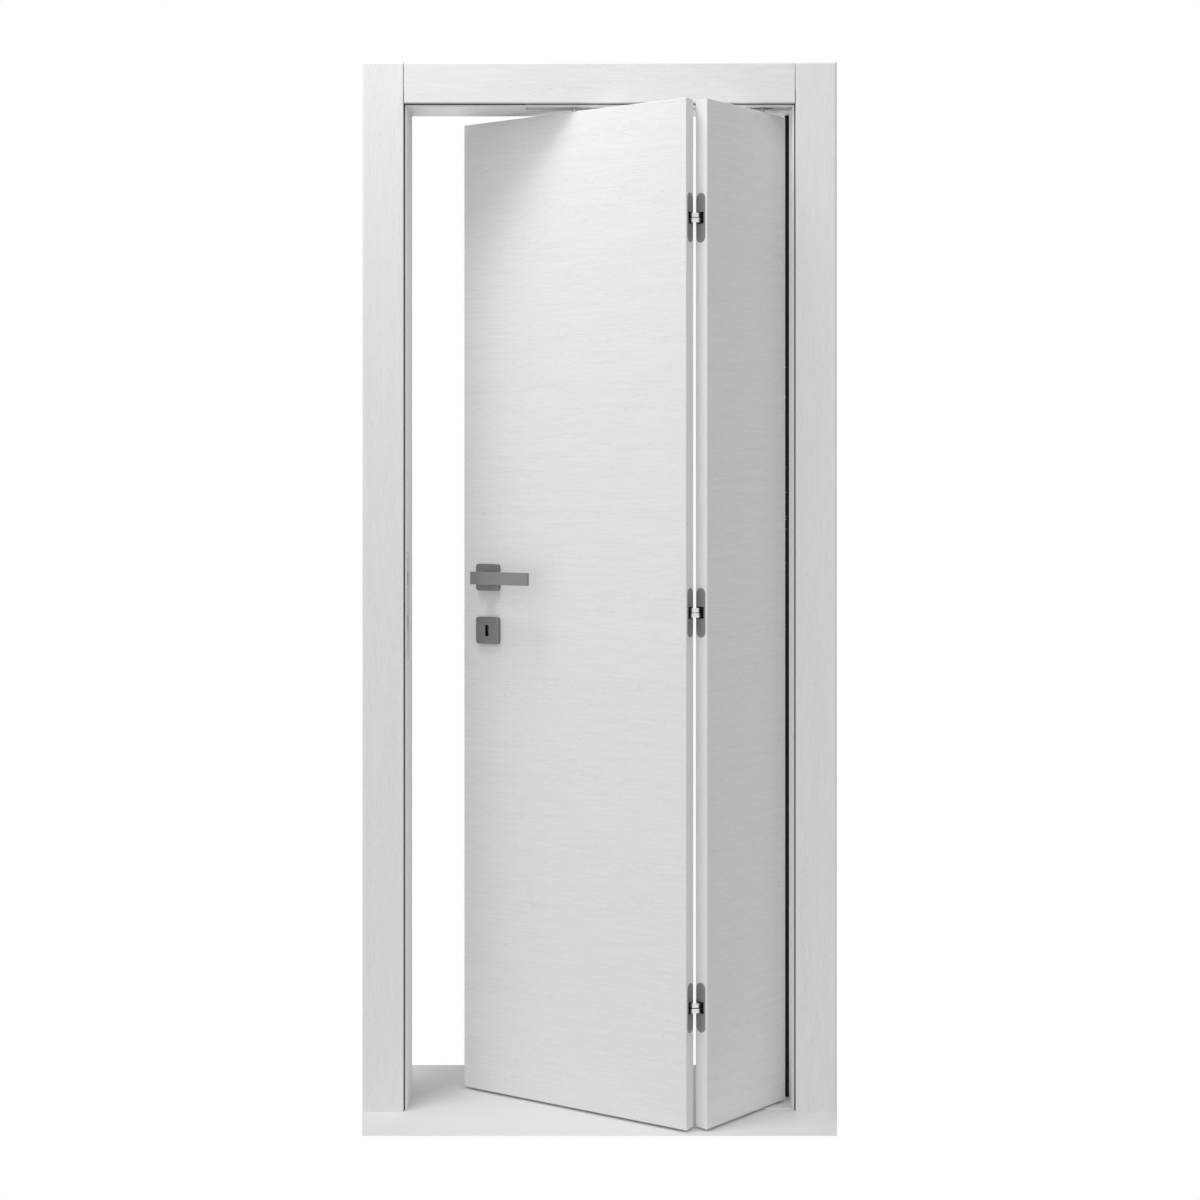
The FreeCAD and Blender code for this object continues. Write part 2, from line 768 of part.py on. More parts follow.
def make_leaf(name, x_low, x_high, cuts, lock_block):
    """All the layers of one leaf, by node name, with the hardware's cuts taken out."""
    band = edge_band_thickness
    envelope = leaf_envelope(x_low, x_high)
    x_in, x_out = x_low + band, x_high - band
    z_in, z_out = leaf_bottom + band, leaf_top - band
    core_front = leaf_front + skin_thickness
    core_back = leaf_back - skin_thickness

    def slab(y_low, y_high):
        return box(x_in, x_out, y_low, y_high, z_in, z_out)
    edge_band = envelope.cut(slab(leaf_front - overrun, leaf_back + overrun))
    front_skin = slab(leaf_front, core_front).common(envelope)
    back_skin = slab(core_back, leaf_back).common(envelope)
    stiles = [box(x_in, x_in + stile_width, core_front, core_back, z_in, z_out),
              box(x_out - stile_width, x_out, core_front, core_back, z_in, z_out)]
    rail_low, rail_high = x_in + stile_width, x_out - stile_width
    rails = [box(rail_low, rail_high, core_front, core_back, z_in, z_in + rail_height),
             box(rail_low, rail_high, core_front, core_back, z_out - rail_height, z_out)]
    core = box(rail_low, rail_high, core_front, core_back, z_in + rail_height, z_out - rail_height)
    timber = stiles + rails
    if lock_block:
        block = box(rail_low, rail_low + lock_block_width, core_front, core_back,
                    keyhole_height - lock_block_margin, lever_height + lock_block_margin)
        core = core.cut(block)
        timber.append(block)
    return {name + "_front_skin": [cut(front_skin, cuts)],
            name + "_back_skin": [cut(back_skin, cuts)],
            name + "_timber_frame": [cut(piece, cuts) for piece in timber],
            name + "_core": [cut(core, cuts)],
            name + "_edge_band": [cut(edge_band, cuts)]}


# The bodies: each a set of nodes that moves as one


def frame_nodes():
    right_jamb = make_side_jamb()
    left_jamb = mirrored_across(right_jamb, 0)
    left_jamb = cut(left_jamb, [strike_blank()] + strike_windows(strike_pocket_depth) + strike_screws())
    track_recess = box(track_start, half_opening, pivot_y - track_outer_half, pivot_y + track_outer_half,
                       clear_height - overrun, clear_height + track_depth)
    right_casing = make_side_casing()
    head_casing = make_head_casing()
    return {"left_jamb": [left_jamb],
            "right_jamb": [right_jamb],
            "head_jamb": [cut(make_head_jamb(), [track_recess] + track_screws())],
            "left_front_casing": [mirrored_across(right_casing, 0)],
            "right_front_casing": [right_casing],
            "head_front_casing": [head_casing],
            "left_rear_casing": [mirrored_through(mirrored_across(right_casing, 0), frame_middle)],
            "right_rear_casing": [mirrored_through(right_casing, frame_middle)],
            "head_rear_casing": [mirrored_through(head_casing, frame_middle)],
            "pivot_jamb_brush_seal": [make_seal()],
            "head_track": [cut(make_track(), track_screws())],
            "track_screws": track_screws(),
            "top_pivot_socket": [make_top_socket()],
            "bottom_pivot_plate": [make_floor_plate()],
            "bottom_pivot_pin": [make_bottom_pin()],
            "strike_plate": [cut(strike_blank(), strike_windows(strike_pocket_depth) + strike_screws())],
            "strike_plate_screws": strike_screws()}


def narrow_leaf_nodes():
    cuts = [make_top_pin(), rod(Vector(pivot_x, pivot_y, leaf_bottom), up, bush_length, bush_radius)]
    for z_middle in hinges.values():
        cuts += hinge_mortice(z_middle)
    nodes = make_leaf("narrow_leaf", narrow_fold_edge, narrow_far_edge, cuts, False)
    nodes["top_pivot_pin"] = [make_top_pin()]
    nodes["bottom_pivot_bush"] = [make_bottom_bush()]
    for place, z_middle in hinges.items():
        nodes[place + "_hinge_narrow_half"] = [make_hinge_half(z_middle)]
    nodes["hinge_covers_narrow_leaf"] = [make_hinge_cover(z_middle) for z_middle in hinges.values()]
    nodes["hinge_screws_narrow_leaf"] = [one for z_middle in hinges.values() for one in hinge_screws(z_middle)]
    return nodes


def wide_leaf_nodes():
    def flipped(shapes):
        return [mirrored_across(shape, fold_x) for shape in shapes]
    cuts = lock_cuts() + [make_guide_pin()]
    for z_middle in hinges.values():
        cuts += flipped(hinge_mortice(z_middle))
    nodes = make_leaf("wide_leaf", wide_free_edge, wide_fold_edge, cuts, True)
    for place, z_middle in hinges.items():
        nodes[place + "_hinge_wide_half"] = flipped([make_hinge_half(z_middle)])
    nodes["hinge_covers_wide_leaf"] = flipped([make_hinge_cover(z_middle) for z_middle in hinges.values()])
    screws = [one for z_middle in hinges.values() for one in hinge_screws(z_middle)]
    nodes["hinge_screws_wide_leaf"] = flipped(screws)
    nodes["guide_pin"] = [make_guide_pin()]
    nodes["lock_case"] = [make_lock_case()]
    nodes["lock_faceplate"] = [make_faceplate()]
    nodes["lock_faceplate_screws"] = faceplate_screws()
    nodes["front_rosette"] = [make_rosette()]
    nodes["rear_rosette"] = [mirrored_through(make_rosette(), leaf_middle)]
    nodes["front_escutcheon"] = [make_escutcheon()]
    nodes["rear_escutcheon"] = [mirrored_through(make_escutcheon(), leaf_middle)]
    nodes["handle_bolts"] = handle_bolts(handle_bolt_radius, leaf_front - handle_bolt_plate_depth,
                                         leaf_back + handle_bolt_plate_depth)
    return nodes


def wide_leaf_moving_nodes():
    return {"guide_roller": [make_guide_roller()],
            "front_lever": [make_lever()],
            "rear_lever": [mirrored_through(make_lever(), leaf_middle)],
            "handle_spindle": [make_spindle()],
            "lock_follower": [make_follower()],
            "latch_bolt": [lock_bolt(latch_length, latch_height, lever_height, 0)],
            "dead_bolt": [lock_bolt(dead_bolt_length, dead_bolt_height, dead_bolt_middle, 0)]}


# Fold to the resting pose, shift to the origin and save


def at_rest(shape, fold):
    """Turn a closed shape by a fold about the fold axis, then with the narrow leaf."""
    return turned(turned(shape, -fold, fold_x, fold_y), narrow_leaf_angle, pivot_x, pivot_y)


pieces = frame_nodes()
for node, solids in narrow_leaf_nodes().items():
    pieces[node] = [at_rest(solid, 0) for solid in solids]
for place, z_middle in hinges.items():
    pieces[place + "_hinge_links"] = [at_rest(link, fold_angle / 2) for link in make_links(z_middle)]
for nodes in (wide_leaf_nodes(), wide_leaf_moving_nodes()):
    for node, solids in nodes.items():
        pieces[node] = [at_rest(solid, fold_angle) for solid in solids]

to_origin = Vector(-pivot_x, -pivot_y, 0)
os.makedirs("parts", exist_ok=True)
for node, solids in pieces.items():
    shape = solids[0] if len(solids) == 1 else Part.makeCompound(solids)
    shape = shape.copy()
    shape.translate(to_origin)
    shape.exportStep("parts/" + node + ".step")
print(len(pieces), "nodes")
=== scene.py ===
"""Looks for a folding door set: grained white laminate, satin hardware, a brush seal and a studio, with
painted shade in the frame's joints, the keyhole and between the hinge links.
"""

import math
import random

import bmesh
import bpy
from bpy.props import FloatProperty, FloatVectorProperty, IntProperty, PointerProperty
from mathutils import Matrix, Vector


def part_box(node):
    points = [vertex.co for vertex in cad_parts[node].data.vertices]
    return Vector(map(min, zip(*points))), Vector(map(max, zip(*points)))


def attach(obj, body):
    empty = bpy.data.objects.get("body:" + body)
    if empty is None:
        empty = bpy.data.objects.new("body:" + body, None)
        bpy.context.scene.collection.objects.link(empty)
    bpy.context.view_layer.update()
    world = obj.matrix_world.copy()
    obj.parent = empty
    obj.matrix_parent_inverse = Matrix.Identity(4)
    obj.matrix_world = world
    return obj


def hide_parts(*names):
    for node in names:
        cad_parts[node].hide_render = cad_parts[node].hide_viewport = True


bl_info = {
    "name": "Folding door set",
    "version": (1, 0, 0),
    "blender": (4, 5, 0),
    "location": "3D View > Sidebar > Door",
    "description": "Dresses a folding door set with grained laminate, satin hardware and studio light",
    "category": "Object",
}

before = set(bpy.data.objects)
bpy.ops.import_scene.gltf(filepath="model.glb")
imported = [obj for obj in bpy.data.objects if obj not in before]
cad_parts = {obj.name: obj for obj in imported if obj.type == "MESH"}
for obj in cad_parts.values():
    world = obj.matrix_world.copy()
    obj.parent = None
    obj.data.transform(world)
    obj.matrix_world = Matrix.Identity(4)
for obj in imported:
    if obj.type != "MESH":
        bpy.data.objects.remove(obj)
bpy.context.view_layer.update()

MILLIMETRE = 0.001

# How the leaves stand at rest, in degrees from the closed plane
NARROW_LEAF_TURN = 46.2
WIDE_LEAF_TURN = 29.8

# Turns of the coordinates for a grain along X, along Z and along each leaf
ALONG_X = (0.0, 0.0, 0.0)
ALONG_Z = (0.0, math.radians(90), 0.0)
ALONG_WIDE_LEAF = (0.0, 0.0, math.radians(WIDE_LEAF_TURN))
ALONG_NARROW_LEAF = (0.0, 0.0, math.radians(-NARROW_LEAF_TURN))

# Which pieces share a finish
FRAME_UPRIGHTS = ("left_jamb", "right_jamb", "left_front_casing", "right_front_casing",
                  "left_rear_casing", "right_rear_casing")
FRAME_HEADS = ("head_jamb", "head_front_casing", "head_rear_casing")
NARROW_SKINS = ("narrow_leaf_front_skin", "narrow_leaf_back_skin")
WIDE_SKINS = ("wide_leaf_front_skin", "wide_leaf_back_skin")
EDGE_BANDS = ("wide_leaf_edge_band", "narrow_leaf_edge_band")
TIMBER_FRAMES = ("narrow_leaf_timber_frame", "wide_leaf_timber_frame")
PAPER_CORES = ("narrow_leaf_core", "wide_leaf_core")
HANDLE_NODES = ("front_lever", "rear_lever", "front_rosette", "rear_rosette",
                "lock_faceplate", "strike_plate")
ESCUTCHEONS = ("front_escutcheon", "rear_escutcheon")
STEEL_NODES = ("track_screws", "strike_plate_screws", "hinge_screws_narrow_leaf",
               "hinge_screws_wide_leaf", "lock_faceplate_screws", "handle_bolts", "bottom_pivot_pin",
               "top_pivot_pin", "guide_pin", "handle_spindle", "lock_follower", "dead_bolt")
LACQUERED_NODES = ("bottom_pivot_plate", "head_track")
NYLON_NODES = ("top_pivot_socket", "bottom_pivot_bush", "guide_roller", "latch_bolt")
HINGE_COVERS = ("hinge_covers_narrow_leaf", "hinge_covers_wide_leaf")
HINGE_PLACES = ("bottom", "middle", "top")

# From the middle of the keyhole, the reach of its painted shade: along the leaf, through it to just
# behind the plates' faces, and up
KEYHOLE_REACH = (10 * MILLIMETRE, 24.1 * MILLIMETRE, 15 * MILLIMETRE)
# The joint between nose and casing, where painted shade lies: out from the clear opening, and in from
# the casings' faces
JOINT_REACH = (3.7 * MILLIMETRE, 8.1 * MILLIMETRE)
JOINT_DEPTH = (10.2 * MILLIMETRE, 21.1 * MILLIMETRE)
# Half the height of the painted shade line between two stacked hinge links
LINK_JOINT = 0.9 * MILLIMETRE

# Black for the keyhole's walls: partly a dark lining, partly painted shade in the deep hole
KEYHOLE_SHADE_BLACK = (0.004, 0.004, 0.004, 1)
# Painted shade for the deep joint between jamb nose and casing
PAINTED_JOINT_SHADE = (0.02, 0.02, 0.02, 1)
# Painted shade for the line between two stacked hinge links
LINK_JOINT_SHADE = (0.06, 0.06, 0.06, 1)
METAL_SHADE = (0.55, 0.55, 0.56, 1)
TIMBER_COLOR = (0.68, 0.50, 0.31)
TIMBER_PORE_COLOR = (0.42, 0.26, 0.13)
PAPER_WALL_COLOR = (0.60, 0.45, 0.28, 1)
PAPER_CELL_COLOR = (0.22, 0.15, 0.09, 1)
LACQUER_WHITE = (0.86, 0.86, 0.858)
LOCK_CASE_BLACK = (0.03, 0.03, 0.03)
NYLON_GREY = (0.30, 0.30, 0.31)
# Black plastic of the hinge bodies, made darker than plastic is to paint the shade of their deep
# pockets
HINGE_BODY_SHADE_BLACK = (0.006, 0.006, 0.006)
# Black of the brush pile, also painted shade for the dark gap between the narrow leaf and the pivot
# jamb
BRUSH_AND_GAP_SHADE_BLACK = (0.012, 0.012, 0.012)
FLOOR_COLORS = ((0.80, 0.80, 0.81, 1), (0.76, 0.76, 0.77, 1))

# Length and width in metres of the cells that the noises along a grain are made of
FIGURE_CELL = (0.55, 0.16)
STREAK_CELL = (0.075, 0.0042)
BAND_CELL = (0.6, 0.018)
SATIN_LINE_CELL = (0.03, 0.0005)
# How far the figure pushes the grain sideways
FIGURE_DRIFT = 0.05

# Between which values a noise comes in, and what it gives at those two
PORE_EDGE = ((0.52, 0.70), (0.0, 1.0))
STREAK_EDGE = ((0.35, 0.70), (0.0, 0.42))
BAND_DENSITY = ((0.35, 0.62), (0.25, 1.0))
GRAIN_ROUGHNESS = ((0.0, 1.0), (0.60, 0.75))
SATIN_LINE_EDGE = ((0.3, 0.7), (0.0, 1.0))
CLOUD_EDGE = ((0.3, 0.7), (0.0, 0.10))
PAPER_CELL_EDGE = ((0.02, 0.10), (0.0, 1.0))
MOTTLE_EDGE = (0.2, 0.8)

# How much laminate and planed wood shine
GRAIN_SPECULAR = 0.25
# What shade adds to a metal's roughness, and a mottle to a plastic's
SHADE_ROUGHNESS = 0.25
MOTTLE_ROUGHNESS = 0.15
# How dark the mottle is beside the plastic's own colour
MOTTLE_DARKNESS = 0.8

# The share of the seal's depth that a tuft reaches, its lean, and its width at the tip
TUFT_REACH = (0.86, 1.0)
TUFT_LEAN = 0.6 * MILLIMETRE
TUFT_TAPER = 0.7
# How far the tufts stay inside the two sides of their strip
TUFT_MARGIN = 1 * MILLIMETRE

# The camera of the photograph, fitted to the leaves' corners, the casings and the floor
CAMERA_PLACE = (-0.28273, -3.70233, 1.26832)
CAMERA_LENS = 53.26
SENSOR_WIDTH = 36.0
PHOTO_SIZE = 1200
PRINCIPAL_POINT = (626.27, 498.63)

KEY_LAMP_AIM = (-0.7, 0.0, 2.0)
# How the front light fades out towards the rear, by the depth of a direction
FRONT_FADE = ((-0.3, 0.5), (1.0, 0.0))
# How well a direction follows the rear axis where the rear light starts and where it is full
REAR_EDGE = (0.65, 1.0)


class DoorFinish(bpy.types.PropertyGroup):
    laminate_color: FloatVectorProperty(
        name="Laminate", description="Lacquered face of the leaves, jambs and casings",
        subtype="COLOR", size=3, min=0, max=1, default=(0.80, 0.80, 0.798))
    pore_color: FloatVectorProperty(
        name="Pores", description="Bottom of the open pores",
        subtype="COLOR", size=3, min=0, max=1, default=(0.60, 0.60, 0.60))
    pore_length: FloatProperty(
        name="Pore length", description="Usual length of a pore along the grain",
        subtype="DISTANCE", unit="LENGTH", default=14 * MILLIMETRE)
    pore_width: FloatProperty(
        name="Pore width", description="Usual width of a pore across the grain",
        subtype="DISTANCE", unit="LENGTH", default=1.5 * MILLIMETRE)
    pore_strength: FloatProperty(
        name="Pore strength", description="How clearly the pores show", default=0.45, min=0, max=1)
    handle_color: FloatVectorProperty(
        name="Handle metal", description="Satin metal of the levers and plates",
        subtype="COLOR", size=3, min=0, max=1, default=(0.29, 0.29, 0.29))
    hinge_plate_color: FloatVectorProperty(
        name="Hinge covers", description="Grey cover plates in the leaf edges",
        subtype="COLOR", size=3, min=0, max=1, default=(0.33, 0.34, 0.335))
    hinge_link_color: FloatVectorProperty(
        name="Hinge links", description="Silver links across the fold",
        subtype="COLOR", size=3, min=0, max=1, default=(0.80, 0.80, 0.80))
    steel_color: FloatVectorProperty(
        name="Plated steel", description="Screws and pins",
        subtype="COLOR", size=3, min=0, max=1, default=(0.52, 0.53, 0.54))


class DoorSeal(bpy.types.PropertyGroup):
    tuft_pitch: FloatProperty(
        name="Tuft pitch", description="Distance between tufts of the brush",
        subtype="DISTANCE", unit="LENGTH", default=2.6 * MILLIMETRE)
    tuft_width: FloatProperty(
        name="Tuft width", description="Width of a tuft along the jamb",
        subtype="DISTANCE", unit="LENGTH", default=3.0 * MILLIMETRE)
    carrier_depth: FloatProperty(
        name="Carrier depth", description="How far the strip that holds the tufts stands out",
        subtype="DISTANCE", unit="LENGTH", default=2.2 * MILLIMETRE)
    seed: IntProperty(name="Seed", description="Start of the random lean of the tufts", default=4)


class DoorStudio(bpy.types.PropertyGroup):
    floor_front: FloatProperty(
        name="Floor front", description="How far the floor runs towards the viewer",
        subtype="DISTANCE", unit="LENGTH", default=0.1695)
    floor_rear: FloatProperty(
        name="Floor rear", description="How far the floor runs behind the door",
        subtype="DISTANCE", unit="LENGTH", default=0.2732)
    key_power: FloatProperty(
        name="Key light", description="Power of the large soft lamp", unit="POWER", default=13.5)
    key_size: FloatProperty(
        name="Key size", description="Side of the lamp's square face",
        subtype="DISTANCE", unit="LENGTH", default=0.8)
    key_place: FloatVectorProperty(
        name="Key place", description="Where the lamp hangs",
        subtype="TRANSLATION", unit="LENGTH", size=3, default=(-1.25, -0.6, 3.8))
    key_spread: FloatProperty(
        name="Key spread", description="Width of the lamp's beam",
        subtype="ANGLE", unit="ROTATION", default=math.radians(110))
    front_sky: FloatProperty(
        name="Front sky", description="Brightness of the studio in front of the door", default=0.753)
    front_lean: FloatVectorProperty(
        name="Front lean", description="Where the front of the studio is brighter",
        subtype="DIRECTION", size=3, default=(-0.228, 0.0, 0.292))
    rear_sky: FloatProperty(
        name="Rear sky", description="Brightness of the studio behind the door", default=2.7)
    rear_axis: FloatVectorProperty(
        name="Rear axis", description="Towards the brightest place behind the door",
        subtype="DIRECTION", size=3, default=(-0.35, 0.9, -0.25))


# Small helpers for node trees


def add_node(tree, kind, **values):
    node = tree.nodes.new(kind)
    for name, value in values.items():
        setattr(node, name, value)
    return node


def set_inputs(node, **values):
    for name, value in values.items():
        node.inputs[name].default_value = value
    return node


def link(tree, source, target):
    """Feed an input from another socket, or set it to a plain value."""
    if isinstance(source, bpy.types.NodeSocket):
        tree.links.new(source, target)
    else:
        target.default_value = source


def math_node(tree, operation, first, second=0.0):
    node = add_node(tree, "ShaderNodeMath", operation=operation)
    link(tree, first, node.inputs[0])
    link(tree, second, node.inputs[1])
    return node.outputs[0]


def vector_node(tree, operation, first, second=(0.0, 0.0, 0.0)):
    node = add_node(tree, "ShaderNodeVectorMath", operation=operation)
    link(tree, first, node.inputs[0])
    link(tree, second, node.inputs[1])
    return node.outputs["Value" if operation == "DOT_PRODUCT" else "Vector"]


def parts_of(tree, vector):
    """The X, Y and Z of a vector."""
    split = add_node(tree, "ShaderNodeSeparateXYZ")
    link(tree, vector, split.inputs[0])
    return tuple(split.outputs)


def range_node(tree, value, before, after):
    """Carry a value smoothly from one range to another."""
    node = add_node(tree, "ShaderNodeMapRange", interpolation_type="SMOOTHSTEP")
    link(tree, value, node.inputs["Value"])
    for name, limit in zip(("From Min", "From Max", "To Min", "To Max"), before + after):
        link(tree, limit, node.inputs[name])
    return node.outputs["Result"]


def noise_node(tree, vector, detail, roughness, scale=1.0):
    node = set_inputs(add_node(tree, "ShaderNodeTexNoise"), Detail=detail, Roughness=roughness)
    link(tree, vector, node.inputs["Vector"])
    link(tree, scale, node.inputs["Scale"])
    return node.outputs["Fac"]


def mix_node(tree, factor, first, second, blend_type="MIX"):
    node = add_node(tree, "ShaderNodeMix", data_type="RGBA", blend_type=blend_type)
    for name, value in (("Factor_Float", factor), ("A_Color", first), ("B_Color", second)):
        link(tree, value, next(one for one in node.inputs if one.identifier == name))
    return next(one for one in node.outputs if one.identifier == "Result_Color")


def stretched(tree, parts, cell):
    """The grain's coordinates counted in cells of a given length and width."""
    length, width = cell
    combine = add_node(tree, "ShaderNodeCombineXYZ")
    for part, size, target in zip(parts, (length, width, width), combine.inputs):
        link(tree, math_node(tree, "DIVIDE", part, size), target)
    return combine.outputs[0]


def between(tree, value, low, high):
    """One where a value lies between two limits, zero elsewhere."""
    above = math_node(tree, "GREATER_THAN", value, low)
    return math_node(tree, "MULTIPLY", above, math_node(tree, "LESS_THAN", value, high))


# Effects that several materials share, each built once as a shader group

SURFACE_OUTPUTS = {"Color": "Color", "Roughness": "Float", "Height": "Float"}


def new_group(name, inputs, outputs):
    """An empty shader group, with its inputs and outputs given as name and kind of socket."""
    tree = bpy.data.node_groups.new(name, "ShaderNodeTree")
    for in_out, sockets in (("INPUT", inputs), ("OUTPUT", outputs)):
        for label, kind in sockets.items():
            tree.interface.new_socket(name=label, in_out=in_out, socket_type="NodeSocket" + kind)
    return tree, add_node(tree, "NodeGroupInput").outputs, add_node(tree, "NodeGroupOutput").inputs


def open_pore_group(name):
    """Open pores along X, in drifting bands; the figure wanders as sawn ash does."""
    tree, given, result = new_group(
        name, {"Vector": "Vector", "Paint": "Color", "Pore": "Color",
               "Length": "Float", "Width": "Float", "Strength": "Float"}, SURFACE_OUTPUTS)
    along, across, through = parts_of(tree, given["Vector"])
    figure_cells = stretched(tree, (along, across, through), FIGURE_CELL)
    figure = noise_node(tree, figure_cells, detail=2.0, roughness=0.5)
    drifted = math_node(tree, "ADD", across, math_node(tree, "MULTIPLY", figure, FIGURE_DRIFT))

    def grain_noise(cell, detail, roughness):
        return noise_node(tree, stretched(tree, (along, drifted, through), cell), detail, roughness)
    pore_noise = grain_noise((given["Length"], given["Width"]), detail=2.0, roughness=0.55)
    streak_noise = grain_noise(STREAK_CELL, detail=3.0, roughness=0.6)
    band_noise = grain_noise(BAND_CELL, detail=2.0, roughness=0.5)
    pores = range_node(tree, pore_noise, *PORE_EDGE)
    pores = math_node(tree, "MULTIPLY", pores, range_node(tree, band_noise, *BAND_DENSITY))
    streaks = range_node(tree, streak_noise, *STREAK_EDGE)
    mask = math_node(tree, "MULTIPLY", math_node(tree, "MAXIMUM", pores, streaks), given["Strength"])
    link(tree, mix_node(tree, mask, given["Paint"], given["Pore"]), result["Color"])
    link(tree, range_node(tree, mask, *GRAIN_ROUGHNESS), result["Roughness"])
    link(tree, math_node(tree, "SUBTRACT", 1.0, mask), result["Height"])
    return tree


def satin_metal_group(name):
    """Fine satin lines along X over a faint cloud, for all the metals."""
    tree, given, result = new_group(
        name, {"Vector": "Vector", "Metal": "Color", "Line": "Float", "Polish": "Float"},
        SURFACE_OUTPUTS)
    cells = stretched(tree, parts_of(tree, given["Vector"]), SATIN_LINE_CELL)
    lines = noise_node(tree, cells, detail=2.0, roughness=0.5)
    cloud = noise_node(tree, given["Vector"], detail=3.0, roughness=0.55, scale=22.0)
    shade = math_node(tree, "MULTIPLY", range_node(tree, lines, *SATIN_LINE_EDGE), given["Line"])
    mask = math_node(tree, "ADD", shade, range_node(tree, cloud, *CLOUD_EDGE))
    dark = mix_node(tree, 1.0, given["Metal"], METAL_SHADE, "MULTIPLY")
    duller = math_node(tree, "MULTIPLY", mask, SHADE_ROUGHNESS)
    link(tree, mix_node(tree, mask, given["Metal"], dark), result["Color"])
    link(tree, math_node(tree, "ADD", given["Polish"], duller), result["Roughness"])
    link(tree, lines, result["Height"])
    return tree


def mottle_group(name):
    """A fine mottle for moulded, lacquered and bristly stuff."""
    tree, given, result = new_group(
        name, {"Vector": "Vector", "Light": "Color", "Dark": "Color", "Scale": "Float",
               "Smooth": "Float", "Rough": "Float"}, SURFACE_OUTPUTS)
    mottle = noise_node(tree, given["Vector"], detail=4.0, roughness=0.6, scale=given["Scale"])
    rough = range_node(tree, mottle, MOTTLE_EDGE, (given["Smooth"], given["Rough"]))
    link(tree, mix_node(tree, mottle, given["Light"], given["Dark"]), result["Color"])
    link(tree, rough, result["Roughness"])
    link(tree, mottle, result["Height"])
    return tree


def joint_shade_group(name):
    """Where the frame lies in the deep joint between nose and casing, all round the opening; this is
    where shade is painted.
    """
    tree, given, result = new_group(name, {"Vector": "Vector"}, {"Mask": "Float"})
    left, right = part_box("left_jamb")[1].x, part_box("right_jamb")[0].x
    front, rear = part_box("left_front_casing")[0].y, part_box("left_rear_casing")[1].y
    across, through, height = parts_of(tree, given["Vector"])
    across = math_node(tree, "ABSOLUTE", math_node(tree, "SUBTRACT", across, (left + right) / 2))
    beside = math_node(tree, "SUBTRACT", across, (right - left) / 2)
    above = math_node(tree, "SUBTRACT", height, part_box("head_jamb")[0].z)
    out = math_node(tree, "MAXIMUM", beside, above)
    through = math_node(tree, "ABSOLUTE", math_node(tree, "SUBTRACT", through, (front + rear) / 2))
    depth = math_node(tree, "SUBTRACT", (rear - front) / 2, through)
    reached = between(tree, out, *JOINT_REACH)
    mask = math_node(tree, "MULTIPLY", reached, between(tree, depth, *JOINT_DEPTH))
    link(tree, mask, result["Mask"])
    return tree


GROUP_MAKERS = {"open_pore_grain": open_pore_group, "satin_metal_grain": satin_metal_group,
                "fine_mottle": mottle_group, "painted_joint_shade": joint_shade_group}


def group_node(tree, name):
    """A node of a shared group, which is built at its first use."""
    group = bpy.data.node_groups.get(name) or GROUP_MAKERS[name](name)
    return add_node(tree, "ShaderNodeGroup", node_tree=group)


# Materials


def opaque(color):
    return (color[0], color[1], color[2], 1.0)


def new_material(name):
    material = bpy.data.materials.new(name)
    material.use_nodes = True
    tree = material.node_tree
    return material, tree, tree.nodes["Principled BSDF"]


def oriented(tree, rotation):
    """Object coordinates turned so that X runs along the grain."""
    place = add_node(tree, "ShaderNodeTexCoord")
    turn = set_inputs(add_node(tree, "ShaderNodeMapping"), Rotation=rotation)
    link(tree, place.outputs["Object"], turn.inputs["Vector"])
    return turn.outputs["Vector"]


def bump_from(tree, shader, height, distance, strength=1.0):
    bump = set_inputs(add_node(tree, "ShaderNodeBump"), Strength=strength, Distance=distance)
    link(tree, height, bump.inputs["Height"])
    link(tree, bump.outputs["Normal"], shader.inputs["Normal"])


def surface_material(name, group, rotation, group_values, shader_values, bump_depth, bump_strength=1.0):
    """A material whose colour, roughness and bump come from a shared group."""
    material, tree, shader = new_material(name)
    set_inputs(shader, **shader_values)
    surface = set_inputs(group_node(tree, group), **group_values)
    link(tree, oriented(tree, rotation), surface.inputs["Vector"])
    link(tree, surface.outputs["Color"], shader.inputs["Base Color"])
    link(tree, surface.outputs["Roughness"], shader.inputs["Roughness"])
    bump_from(tree, shader, surface.outputs["Height"], bump_depth, bump_strength)
    return material


def grained_material(name, rotation, paint, pore, length, width, strength, bump_depth):
    """Open-pore laminate, or planed wood."""
    grain = {"Paint": opaque(paint), "Pore": opaque(pore),
             "Length": length, "Width": width, "Strength": strength}
    gloss = {"Specular IOR Level": GRAIN_SPECULAR}
    return surface_material(name, "open_pore_grain", rotation, grain, gloss, bump_depth)


def metal_material(name, rotation, metal, line, polish, metallic=1.0):
    """Satin metal, with lines of a given strength over a given roughness."""
    lines = {"Metal": opaque(metal), "Line": line, "Polish": polish}
    return surface_material(name, "satin_metal_grain", rotation, lines, {"Metallic": metallic},
                            bump_depth=0.05 * MILLIMETRE, bump_strength=0.3)


def plastic_material(name, color, cell, roughness):
    """Moulded nylon, or any plain matt stuff, with a fine mottled surface."""
    dark = [part * MOTTLE_DARKNESS for part in color]
    mottle = {"Light": opaque(color), "Dark": opaque(dark), "Scale": 1 / cell,
              "Smooth": roughness, "Rough": roughness + MOTTLE_ROUGHNESS}
    return surface_material(name, "fine_mottle", ALONG_X, mottle, {},
                            bump_depth=0.1 * MILLIMETRE, bump_strength=0.4)


